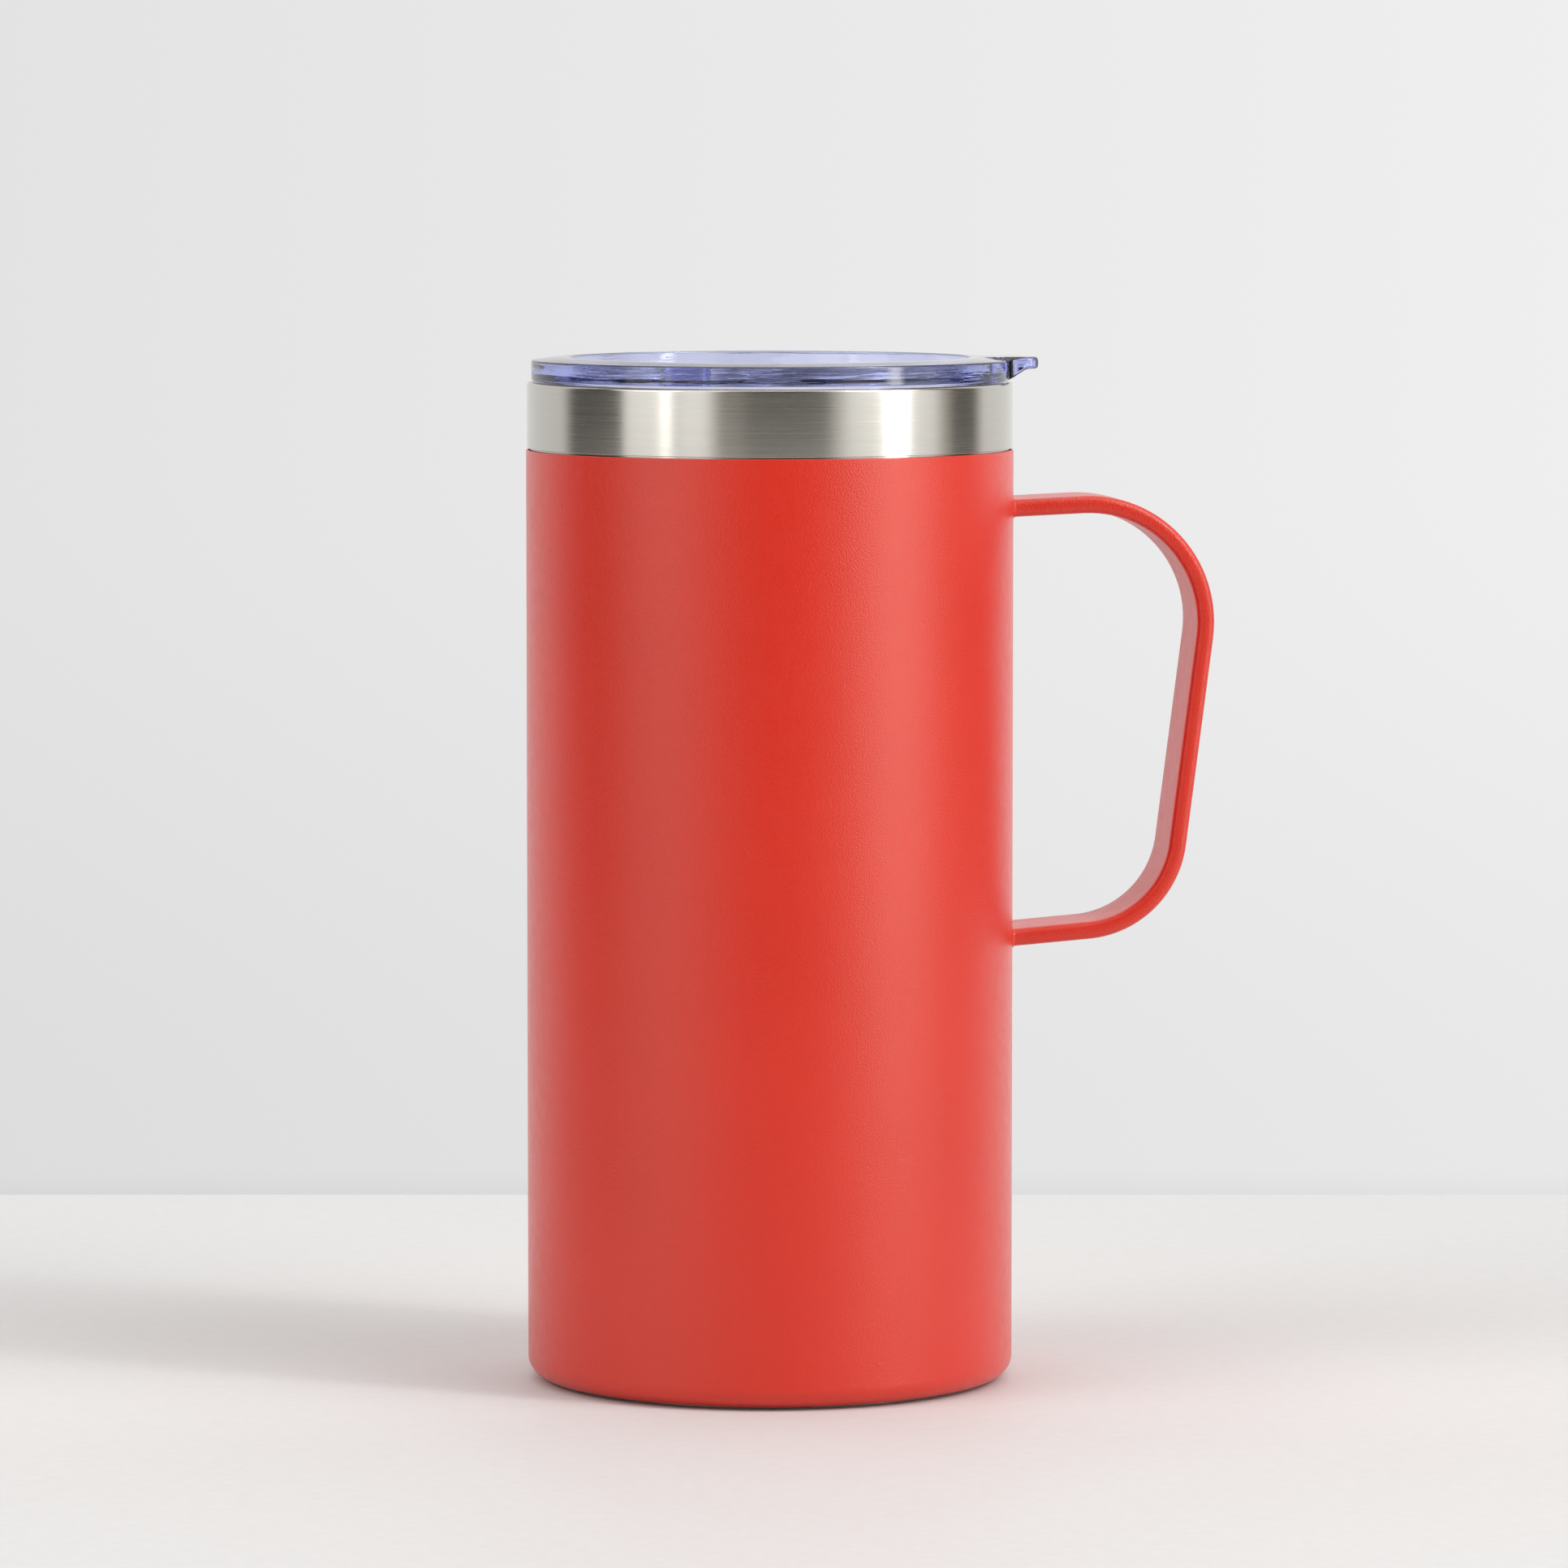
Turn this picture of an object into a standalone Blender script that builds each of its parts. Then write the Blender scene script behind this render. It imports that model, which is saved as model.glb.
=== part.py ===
"""Insulated travel mug: a double-walled steel mug with a strap handle and a clear press-in lid.

Blender 4.5, metres, +Z up. The origin is the centre of the base, on the surface that the mug
stands on, and +X points to the handle. Sizes below are in millimetres, and MM turns them into
metres where a mesh is made. Separate solids keep a clearance of GAP to each other.
"""

import math

import bmesh
import bpy
from mathutils import Vector

MM = 0.001

# Driving dimensions, in millimetres.
BODY_RADIUS = 42.0  # outside of the powder coat
LIP_HEIGHT = 172.6  # from the table to the steel lip
COAT_TOP = 161.0  # the bare steel band starts here
CAVITY_RADIUS = 38.2  # inside of the liner
CAVITY_FLOOR = 10.0
SHEET = 0.5  # thickness of the drawn steel
COAT = 0.4
GAP = 0.3
BASE_CORNER = 3.5  # outside radius between the side and the base
FOOT = 0.4  # from the table to the coated base corner

LID_RADIUS = 41.1
LID_HEIGHT = 4.3  # from the lip to the top of the lid
PLUG_RADIUS = 36.5
PLUG_DEPTH = 8.8  # from the lip down
WELL_RADIUS = 34.2  # the recess in the lid's top, above a ledge in its wall
WELL_FOOT = 33.4  # its radius at the floor
WELL_FLOOR = -4.3  # below the lip
LEDGE = 1.0
TOP_SLOPE = 0.45  # fall of the flange's top towards its edge
LID_FLOOR = 1.8  # thickness of the lid's floor
GROOVE_TOP, GROOVE_BOTTOM = -1.8, -6.8  # the gasket's groove, from the lip
TAB_REACH, TAB_HALF_WIDTH = 46.0, 7.5
SIP_CENTRE = (-28.0, 0)
SLIDER_HALF_WIDTH = 13.0

GETTER_PLACE = (18.0, 0, 4.8)

STRAP_WIDTH = 16.0
STRAP_THICKNESS = 3.0

TURN_STEPS = 48
SMOOTH_ANGLE = math.radians(35)
MERGE = 1e-5  # metres

# Radii that follow from the driving dimensions.
STEEL_RADIUS = BODY_RADIUS - COAT - GAP  # the outer wall, under the coat
BAND_RADIUS = BODY_RADIUS - 0.2  # the outer wall, where it is bare
SHELL_BORE = STEEL_RADIUS - SHEET
LINER_RADIUS = CAVITY_RADIUS + SHEET


# ---------------------------------------------------------------- tools


def material(name, colour, roughness, metallic=0.0, transmission=0.0):
    made = bpy.data.materials.new(name)
    made.use_nodes = True
    shader = made.node_tree.nodes["Principled BSDF"]
    shader.inputs["Base Color"].default_value = (*colour, 1.0)
    shader.inputs["Roughness"].default_value = roughness
    shader.inputs["Metallic"].default_value = metallic
    shader.inputs["Transmission Weight"].default_value = transmission
    made.diffuse_color = (*colour, 1.0)
    return made


def empty(name, height=0.0, parent=None):
    made = bpy.data.objects.new(name, None)
    made.location = (0, 0, height * MM)
    made.empty_display_size = 10 * MM
    made.parent = parent
    PARTS.objects.link(made)
    return made


def add_object(name, mesh, finish=None, parent=None, at=(0, 0, 0)):
    """A part has a finish. A cutter has none, and isn't rendered."""
    made = bpy.data.objects.new(name, mesh)
    made.location = Vector(at) * MM
    made.parent = parent
    if finish:
        mesh.materials.append(finish)
        PARTS.objects.link(made)
    else:
        made.hide_render = True
        made.display_type = "WIRE"
        CUTTERS.objects.link(made)
    return made


def arc(centre, radius, start, end, steps=4):
    """Points of an arc in the outline plane, with angles in degrees from +X towards +Z."""
    points = []
    for i in range(steps + 1):
        angle = math.radians(start + (end - start) * i / steps)
        points.append((centre[0] + radius * math.cos(angle), centre[1] + radius * math.sin(angle)))
    return points


def turned(name, outline, finish=None, parent=None, at=(0, 0, 0), steps=TURN_STEPS):
    """A turned solid from an outline of (radius, height), which runs down its outer side.

    An outline that starts and ends on the axis makes a solid one, and any other one closes on
    itself and makes a ring.
    """
    mesh = bpy.data.meshes.new(name)
    count = len(outline)
    on_axis = outline[0][0] == 0 and outline[-1][0] == 0
    links = [(i, i + 1) for i in range(count - 1)]
    if not on_axis:
        links.append((count - 1, 0))
    mesh.from_pydata([(r * MM, 0, z * MM) for r, z in outline], links, [])
    made = add_object(name, mesh, finish, parent, at)
    screw = made.modifiers.new("Turn", "SCREW")
    screw.axis = "Z"
    screw.angle = math.tau
    screw.steps = steps
    screw.render_steps = steps
    screw.use_merge_vertices = True
    screw.merge_threshold = MERGE
    return made


def block(name, low, high, finish=None, parent=None):
    """A box between two corners."""
    mesh = bpy.data.meshes.new(name)
    shape = bmesh.new()
    bmesh.ops.create_cube(shape, size=1.0)
    for vert in shape.verts:
        for axis in range(3):
            middle = (low[axis] + high[axis]) / 2
            vert.co[axis] = (middle + vert.co[axis] * (high[axis] - low[axis])) * MM
    shape.to_mesh(mesh)
    shape.free()
    return add_object(name, mesh, finish, parent)


def prism(name, outline, low, high, parent=None, along="Z"):
    """A filled outline, extruded from low to high along Z or Y.

    The outline is of (x, y) for a prism along Z, and of (x, z) for one along Y.
    """
    mesh = bpy.data.meshes.new(name)
    shape = bmesh.new()
    place = {"Z": lambda a, b, c: (a, b, c), "Y": lambda a, b, c: (a, c, b)}[along]
    face = shape.faces.new([shape.verts.new(Vector(place(a, b, low)) * MM) for a, b in outline])
    grown = bmesh.ops.extrude_face_region(shape, geom=[face])
    moved = [item for item in grown["geom"] if isinstance(item, bmesh.types.BMVert)]
    bmesh.ops.translate(shape, verts=moved, vec=Vector(place(0, 0, high - low)) * MM)
    bmesh.ops.recalc_face_normals(shape, faces=shape.faces)
    shape.to_mesh(mesh)
    shape.free()
    return add_object(name, mesh, parent=parent)


def stadium(centre, half_length, radius, steps=8):
    """An outline of (x, y) with round ends, long in Y, going anticlockwise."""
    x, y = centre
    return arc((x, y + half_length), radius, 0, 180, steps) + arc(
        (x, y - half_length), radius, 180, 360, steps
    )


def bevel(obj, width, segments=2, angle=40):
    made = obj.modifiers.new("Bevel", "BEVEL")
    made.width = width * MM
    made.segments = segments
    made.limit_method = "ANGLE"
    made.angle_limit = math.radians(angle)


def combine(obj, other, operation):
    made = obj.modifiers.new(other.name, "BOOLEAN")
    made.operation = operation
    made.solver = "EXACT"
    made.object = other


def shade_parts():
    """Applies the modifiers and shades round faces smooth, with sharp edges left sharp."""
    bpy.context.view_layer.update()
    graph = bpy.context.evaluated_depsgraph_get()
    parts = [obj for obj in PARTS.objects if obj.type == "MESH"]
    meshes = [bpy.data.meshes.new_from_object(obj.evaluated_get(graph)) for obj in parts]
    for obj, mesh in zip(parts, meshes):
        obj.modifiers.clear()
        obj.data = mesh
        mesh.shade_smooth()
        mesh.set_sharp_from_angle(angle=SMOOTH_ANGLE)


# ---------------------------------------------------------------- the mug's steel walls


def outer_wall():
    """The outer shell: a rolled lip, the bare band, the coated side and the foot ring."""
    roll = 0.5
    corner = (BODY_RADIUS - BASE_CORNER, BASE_CORNER + FOOT)
    corner_out = STEEL_RADIUS - corner[0]
    seam = LINER_RADIUS + GAP
    foot_out, foot_in, foot_curl = 38.0, 34.0, 2.4
    outline = [(seam, LIP_HEIGHT)]
    outline += arc((BAND_RADIUS - roll, LIP_HEIGHT - roll), roll, 90, 0)
    outline += [(BAND_RADIUS, COAT_TOP + GAP), (STEEL_RADIUS, COAT_TOP + GAP)]
    outline += arc(corner, corner_out, 0, -90, 3)
    outline += [(foot_out, corner[1] - corner_out), (foot_out, 0), (foot_in, 0), (foot_in, foot_curl)]
    outline += [(foot_in + SHEET, foot_curl), (foot_in + SHEET, corner[1] - corner_out + SHEET)]
    outline += arc(corner, corner_out - SHEET, -90, 0, 3)
    outline += [(SHELL_BORE, LIP_HEIGHT - roll), (seam, LIP_HEIGHT - roll)]
    return turned("outer_wall", outline, STEEL, MUG)


def powder_coat():
    """The coat over the outer wall, from the band down and round the base corner."""
    corner = (BODY_RADIUS - BASE_CORNER, BASE_CORNER + FOOT)
    inside = BODY_RADIUS - COAT
    outline = [(inside, COAT_TOP), (BODY_RADIUS - 0.15, COAT_TOP), (BODY_RADIUS, COAT_TOP - 0.15)]
    outline += arc(corner, BASE_CORNER, 0, -90)
    outline += arc(corner, BASE_CORNER - COAT, -90, 0)
    return turned("powder_coat", outline, COAT_RED, MUG)


def liner_tube():
    bottom = CAVITY_FLOOR + 8.0 + GAP
    outline = [
        (CAVITY_RADIUS + 0.2, LIP_HEIGHT),
        (LINER_RADIUS, LIP_HEIGHT),
        (LINER_RADIUS, bottom),
        (CAVITY_RADIUS, bottom),
        (CAVITY_RADIUS, LIP_HEIGHT - 0.2),
    ]
    return turned("liner_tube", outline, STEEL, MUG)


def liner_bottom():
    """The liner's stamped bottom, with a raised middle, welded under the tube."""
    round_out = 6.0
    centre = (LINER_RADIUS - round_out, CAVITY_FLOOR - SHEET + round_out)
    top = CAVITY_FLOOR + 8.0
    under = CAVITY_FLOOR - SHEET
    step, ring = 0.8, 24.0  # the middle is raised by step inside ring
    outline = [(0, CAVITY_FLOOR + step), (ring - 0.7, CAVITY_FLOOR + step)]
    outline += [(ring + 0.8, CAVITY_FLOOR)]
    outline += arc(centre, round_out - SHEET, -90, 0)
    outline += [(CAVITY_RADIUS, top), (LINER_RADIUS, top)]
    outline += arc(centre, round_out, 0, -90)
    outline += [(ring + 1.0, under), (ring - 0.5, under + step), (0, under + step)]
    return turned("liner_bottom", outline, STEEL, MUG)


# ---------------------------------------------------------------- in the vacuum gap


def radiation_foil():
    inside = LINER_RADIUS + GAP
    outside = inside + 0.2
    low, high = CAVITY_FLOOR + 9.0, COAT_TOP - 2.0
    outline = [(inside, high), (outside, high), (outside, low), (inside, low)]
    return turned("radiation_foil", outline, FOIL, MUG)


def vacuum_base():
    """The dish that closes the vacuum gap, with the pump-out hole in a dimple at its centre."""
    wide = SHELL_BORE - GAP
    low, high, corner = 4.0, 11.0, 2.0
    hole, dimple, rise = 1.2, 6.5, 1.4
    centre = (wide - corner, low + corner)
    outline = [(wide - SHEET, high), (wide, high)]
    outline += arc(centre, corner, 0, -90, 3)
    outline += [(dimple + 1.0, low), (dimple, low + rise), (hole, low + rise)]
    outline += [(hole, low + rise + SHEET), (dimple + 0.5, low + rise + SHEET)]
    outline += [(dimple + 1.5, low + SHEET)]
    outline += arc(centre, corner - SHEET, -90, 0, 3)
    return turned("vacuum_base", outline, STEEL, MUG)


def seal_glass():
    """The bead of solder glass that closes the pump-out hole."""
    outline = [(0, 0.9), (3.4, 0.9), (4.2, 0.5), (3.6, 0.1), (0, -0.1)]
    return turned("seal_glass", outline, GLASS, MUG, at=(0, 0, 4.2), steps=24)


def getter_holder():
    outline = [(0, 0.4), (4.6, 0.4), (4.6, 2.4), (5.0, 2.4), (5.0, 0), (0, 0)]
    return turned("getter_holder", outline, STEEL, MUG, at=GETTER_PLACE, steps=24)


def getter_pellet():
    outline = [(0, 2.2), (4.0, 2.2), (4.3, 1.9), (4.3, 0.7), (0, 0.7)]
    return turned("getter_pellet", outline, GETTER, MUG, at=GETTER_PLACE, steps=24)


def base_cover():
    """The flat disc pressed into the foot ring. The mug stands on it and on the ring."""
    wide, deep = 34.0 - GAP, 2.9
    outline = [(0, SHEET), (wide - SHEET, SHEET), (wide - SHEET, deep), (wide, deep)]
    outline += [(wide, 0.4), (wide - 0.4, 0), (0, 0)]
    return turned("base_cover", outline, STEEL, MUG)


# ---------------------------------------------------------------- handle


def strap_path():
    """The strap's middle line as (x, z): out, down past two rounded corners, and back in."""
    start_x = BODY_RADIUS - 4.0
    corners = [(start_x, 150.7), (78.1, 152.5), (68.6, 78.75), (start_x, 76.25)]
    radii = [20.5, 17.0]
    points = [Vector(corners[0])]
    for i, radius in enumerate(radii, start=1):
        before = (Vector(corners[i - 1]) - Vector(corners[i])).normalized()
        after = (Vector(corners[i + 1]) - Vector(corners[i])).normalized()
        half = before.angle(after) / 2
        centre = Vector(corners[i]) + (before + after).normalized() * radius / math.sin(half)
        start = Vector(corners[i]) + before * radius / math.tan(half) - centre
        turn = math.pi - 2 * half
        steps = 12
        for k in range(steps + 1):
            angle = -turn * k / steps
            points.append(
                centre
                + Vector(
                    (
                        start.x * math.cos(angle) - start.y * math.sin(angle),
                        start.x * math.sin(angle) + start.y * math.cos(angle),
                    )
                )
            )
    points.append(Vector(corners[-1]))
    return points


def handle():
    """A bent flat bar whose ends are cut to the mug's round side, where they are welded."""
    mesh = bpy.data.meshes.new("handle")
    half = STRAP_WIDTH / 2
    path = strap_path()
    verts = [(p.x * MM, side * half * MM, p.y * MM) for p in path for side in (-1, 1)]
    faces = [(2 * i, 2 * i + 1, 2 * i + 3, 2 * i + 2) for i in range(len(path) - 1)]
    mesh.from_pydata(verts, [], faces)
    made = add_object("handle", mesh, COAT_RED, MUG)
    thick = made.modifiers.new("Thickness", "SOLIDIFY")
    thick.thickness = STRAP_THICKNESS * MM
    thick.offset = 0
    thick.use_even_offset = True
    bevel(made, 1.0, segments=2, angle=60)
    reach = BODY_RADIUS + GAP
    side = [(0, 165), (reach, 165), (reach, 65), (0, 65)]
    combine(made, turned("handle_end_cut", side, steps=2 * TURN_STEPS), "DIFFERENCE")
    return made


# ---------------------------------------------------------------- lid


def lid_body():
    """Flange, plug with a gasket groove, and a well with the sip slot, guide slot and vent.

    Heights are from the lip.
    """
    groove = PLUG_RADIUS - 0.9
    under = WELL_FLOOR - LID_FLOOR
    outline = [(0, WELL_FLOOR), (WELL_FOOT - 0.3, WELL_FLOOR), (WELL_FOOT, WELL_FLOOR + 0.3)]
    outline += [(WELL_FOOT + 0.3, LEDGE), (WELL_RADIUS + 0.1, LEDGE + 0.5)]
    outline += [(WELL_RADIUS + 0.2, LID_HEIGHT - 0.35), (WELL_RADIUS + 0.55, LID_HEIGHT)]
    outline += [(WELL_RADIUS + 2.4, LID_HEIGHT)]
    outline += arc((LID_RADIUS - 0.4, LID_HEIGHT - TOP_SLOPE - 0.4), 0.4, 90, 0)
    outline += [(LID_RADIUS, GAP + 0.4), (LID_RADIUS - 0.4, GAP), (PLUG_RADIUS, GAP)]
    outline += [(PLUG_RADIUS, GROOVE_TOP), (groove, GROOVE_TOP), (groove, GROOVE_BOTTOM)]
    outline += [(PLUG_RADIUS + 0.3, GROOVE_BOTTOM), (PLUG_RADIUS + 0.3, -7.6)]
    outline += [(PLUG_RADIUS - 0.3, -PLUG_DEPTH), (WELL_RADIUS + 0.6, -PLUG_DEPTH)]
    outline += [(WELL_RADIUS + 0.6, under), (0, under)]
    made = turned("lid_body", outline, CLEAR, LID_TURN)
    for rail in rails():
        combine(made, rail, "UNION")
    combine(made, pull_tab(), "UNION")
    cuts = {
        "sip_slot": stadium(SIP_CENTRE, 6.5, 3.5),
        "guide_slot": [(-20.6, -2.5), (0.0, -2.5), (0.0, 2.5), (-20.6, 2.5)],
        "vent": arc((27.0, 0), 1.0, 0, 330, 11),
    }
    for name, shape in cuts.items():
        tool = prism(name, shape, under - 1, WELL_FLOOR + 1, parent=LID_TURN)
        combine(made, tool, "DIFFERENCE")
    return made


def rails():
    """Two low rails on the well's floor that guide the slider's sides."""
    inside = SLIDER_HALF_WIDTH + GAP
    made = []
    for name, side in (("rail_front", -1), ("rail_back", 1)):
        ys = sorted((side * inside, side * (inside + 1.6)))
        low = (-27, ys[0], WELL_FLOOR - 0.5)
        high = (24, ys[1], WELL_FLOOR + 1.7)
        made.append(block(name, low, high, parent=LID_TURN))
    return made


def pull_tab():
    """The tab on the flange, thin at its tip and as deep as the flange at its root."""
    fillet, tip = 2.0, 2.5  # radii, seen from above
    inner = 38.0
    fillet_y = TAB_HALF_WIDTH + fillet
    fillet_x = math.sqrt((LID_RADIUS + fillet) ** 2 - fillet_y**2)
    to_middle = math.degrees(math.atan2(fillet_y, -fillet_x))
    side = arc((fillet_x, -fillet_y), fillet, to_middle, 90)
    side += arc((TAB_REACH - tip, tip - TAB_HALF_WIDTH), tip, -90, 0)
    plan = [(inner, -fillet_y)] + side + [(x, -y) for x, y in reversed(side)] + [(inner, fillet_y)]
    tab = prism("pull_tab", plan, GAP, LID_HEIGHT, parent=LID_TURN)
    side_view = [(inner - 1, 0.5), (41.0, 0.5), (42.0, 0.9), (43.6, 1.8), (45.5, 2.2)]
    side_view += [(TAB_REACH, 2.7), (TAB_REACH, LID_HEIGHT - 0.5), (TAB_REACH - 0.5, LID_HEIGHT)]
    side_view += [(inner - 1, LID_HEIGHT)]
    wedge = prism("tab_side", side_view, -12, 12, parent=LID_TURN, along="Y")
    combine(tab, wedge, "INTERSECT")
    return tab


def lid_slider():
    """The closure: a plate over the sip slot, a grip, and a stem that hooks under the floor.

    Its heights are from the lip too, and it is closed.
    """
    low = WELL_FLOOR + GAP
    under = WELL_FLOOR - LID_FLOOR - GAP
    half = SLIDER_HALF_WIDTH
    made = block("lid_slider", (-36, -half, low), (2.6, half, low + 2.0), CLEAR, SLIDER_TRACK)
    reach = WELL_FOOT - GAP
    end = [(0, low + 4), (reach, low + 4), (reach, low - 2), (0, low - 2)]
    combine(made, turned("slider_end", end, parent=SLIDER_TRACK), "INTERSECT")
    stem = block("slider_stem", (-20.3, -2.2, under - 0.5), (-11.3, 2.2, low + 1), parent=SLIDER_TRACK)
    foot = block("slider_foot", (-20.3, -4.5, under - 1.5), (-11.3, 4.5, under), parent=SLIDER_TRACK)
    grip = block("slider_grip", (-19, -9, low + 1), (-11, 9, low + 6.6), parent=SLIDER_TRACK)
    bevel(grip, 1.5, segments=2)
    for piece in (stem, foot, grip):
        combine(made, piece, "UNION")
    return made


def lid_gasket():
    """A silicone ring with two fins, in the plug's groove."""
    inside = PLUG_RADIUS - 0.9 + GAP
    ring = inside + 0.9
    fin = CAVITY_RADIUS - GAP
    top = GROOVE_TOP - GAP
    bottom = GROOVE_BOTTOM + GAP
    outline = [(inside, top), (ring, top)]
    for root in (top - 0.4, top - 2.6):
        outline += [(ring, root), (fin, root - 0.4), (fin, root - 0.9), (ring, root - 1.1)]
    outline += [(ring, bottom), (inside, bottom)]
    return turned("lid_gasket", outline, SILICONE, LID_LIFT)


# ---------------------------------------------------------------- build

for old in list(bpy.data.objects):
    bpy.data.objects.remove(old)

PARTS = bpy.data.collections.new("travel_mug")
CUTTERS = bpy.data.collections.new("cutters")
for collection in (PARTS, CUTTERS):
    bpy.context.scene.collection.children.link(collection)
CUTTERS.hide_render = True

STEEL = material("brushed_steel", (0.62, 0.61, 0.58), 0.3, metallic=1.0)
COAT_RED = material("powder_coat_red", (0.72, 0.05, 0.035), 0.5)
FOIL = material("foil", (0.86, 0.87, 0.88), 0.25, metallic=1.0)
GLASS = material("solder_glass", (0.25, 0.28, 0.26), 0.1)
GETTER = material("getter", (0.14, 0.14, 0.15), 0.8, metallic=0.5)
CLEAR = material("clear_plastic", (0.72, 0.75, 0.96), 0.05, transmission=1.0)
SILICONE = material("silicone", (0.85, 0.86, 0.88), 0.5)

MUG = empty("mug")
LID_LIFT = empty("lid_lift", LIP_HEIGHT, MUG)
LID_TURN = empty("lid_turn", 0, LID_LIFT)
SLIDER_TRACK = empty("slider_track", 0, LID_TURN)

for make in (
    outer_wall,
    powder_coat,
    liner_tube,
    liner_bottom,
    radiation_foil,
    vacuum_base,
    seal_glass,
    getter_holder,
    getter_pellet,
    base_cover,
    handle,
    lid_gasket,
    lid_body,
    lid_slider,
):
    make()

shade_parts()
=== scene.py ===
"""Insulated travel mug: its finished surfaces and materials, the light and the camera.

Lengths are in millimetres, and MM turns them into metres where a mesh is made. Sizes come from
the CAD frame. Heights are from the table, but in the lid they are from the steel lip.
"""

import math

import bmesh
import bpy
from mathutils import Euler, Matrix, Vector


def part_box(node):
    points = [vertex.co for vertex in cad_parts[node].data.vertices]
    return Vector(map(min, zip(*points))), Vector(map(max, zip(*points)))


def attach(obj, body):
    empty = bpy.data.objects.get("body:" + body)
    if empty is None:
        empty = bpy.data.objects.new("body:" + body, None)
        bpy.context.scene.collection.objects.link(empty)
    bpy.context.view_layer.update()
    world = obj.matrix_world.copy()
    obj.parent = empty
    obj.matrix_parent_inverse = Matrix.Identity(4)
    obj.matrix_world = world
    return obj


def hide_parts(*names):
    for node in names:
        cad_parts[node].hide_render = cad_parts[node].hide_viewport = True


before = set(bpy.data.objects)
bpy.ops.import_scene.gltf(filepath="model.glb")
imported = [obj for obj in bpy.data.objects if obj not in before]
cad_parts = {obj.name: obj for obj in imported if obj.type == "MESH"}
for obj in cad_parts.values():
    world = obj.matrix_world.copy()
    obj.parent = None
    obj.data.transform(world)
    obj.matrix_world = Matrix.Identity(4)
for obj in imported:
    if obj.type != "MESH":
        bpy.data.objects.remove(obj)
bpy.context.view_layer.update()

MM = 0.001


def reach(node):
    """The outer radius of a turned node."""
    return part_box(node)[1].y / MM


def top(node):
    """The height of a node's highest point."""
    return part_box(node)[1].z / MM


def bottom(node):
    """The height of a node's lowest point."""
    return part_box(node)[0].z / MM


BODY = reach("powder_coat")  # radii
BAND = reach("outer_wall")
LINER = reach("liner_tube")
FLANGE = reach("lid_body")
BASE_DISC = reach("base_cover")
LIP = top("outer_wall")  # heights
COAT_TOP = top("powder_coat")
FLANGE_TOP = top("lid_body") - LIP
SHEET = 0.5  # thicknesses
COAT = 0.4
GAP = 0.3  # clearance between pieces
BASE_CORNER = 3.5
FOOT = 0.4  # from the table to the coated base corner
FOOT_OUTER, FOOT_INNER = 38.0, 34.0
FOOT_RISE = 2.4  # height of the foot ring's inner wall

TURN_STEPS = 192
SMOOTH_ANGLE = math.radians(32)

CAMERA_AZIMUTH = -7.5  # degrees; 0 looks along +Y
CAMERA_PITCH = -4.736
CAMERA_DISTANCE = 1415.0  # to the mug's axis, along the table
CAMERA_HEIGHT = 220.3
CAMERA_ASIDE = 2.45  # to the right of the mug's axis
CAMERA_LENS = 188.5


# ---------------------------------------------------------------- outlines


def arc(centre, radius, start, end, steps=8):
    """Points of an arc, with angles in degrees from the first axis towards the second."""
    points = []
    for i in range(steps + 1):
        angle = math.radians(start + (end - start) * i / steps)
        points.append(Vector(centre) + radius * Vector((math.cos(angle), math.sin(angle))))
    return points


def rounded(corners, closed=True, steps=5):
    """An outline from corners of (a, b) or, to round one, (a, b, radius)."""
    points = []
    count = len(corners)
    for i, corner in enumerate(corners):
        here = Vector(corner[:2])
        radius = corner[2] if len(corner) > 2 else 0
        if not radius or (not closed and i in (0, count - 1)):
            points.append(here)
            continue
        before = (Vector(corners[i - 1][:2]) - here).normalized()
        after = (Vector(corners[(i + 1) % count][:2]) - here).normalized()
        half = before.angle(after) / 2
        centre = here + (before + after).normalized() * radius / math.sin(half)
        start = here + before * radius / math.tan(half) - centre
        end = here + after * radius / math.tan(half) - centre
        turn = math.copysign(math.pi - 2 * half, start.cross(end))
        for k in range(steps + 1):
            cos, sin = math.cos(turn * k / steps), math.sin(turn * k / steps)
            spoke = Vector((start.x * cos - start.y * sin, start.x * sin + start.y * cos))
            points.append(centre + spoke)
    return points


def outward(outline):
    """The outward normal at each point of a closed outline that goes anticlockwise."""
    normals = []
    for i, here in enumerate(outline):
        before = (here - outline[i - 1]).normalized()
        after = (outline[(i + 1) % len(outline)] - here).normalized()
        along = (before + after).normalized()
        normals.append(Vector((along.y, -along.x)))
    return normals


def rounded_edge(low, high, low_radius, high_radius, steps=4):
    """(inset, height) pairs up the side of a slab whose two edges are rounded."""
    rows = []
    for k in range(steps + 1):
        angle = math.pi / 2 * k / steps
        rows.append((low_radius * (1 - math.sin(angle)), low + low_radius * (1 - math.cos(angle))))
    for k in range(steps + 1):
        angle = math.pi / 2 * k / steps
        rows.append((high_radius * (1 - math.cos(angle)), high - high_radius * (1 - math.sin(angle))))
    return rows


# ---------------------------------------------------------------- meshes


def finished(name, shape):
    """An object from a bmesh, with round faces shaded smooth."""
    bmesh.ops.remove_doubles(shape, verts=shape.verts, dist=1e-7)
    mesh = bpy.data.meshes.new(name)
    shape.to_mesh(mesh)
    shape.free()
    mesh.shade_smooth()
    mesh.set_sharp_from_angle(angle=SMOOTH_ANGLE)
    made = bpy.data.objects.new(name, mesh)
    bpy.context.scene.collection.objects.link(made)
    return made


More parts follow.
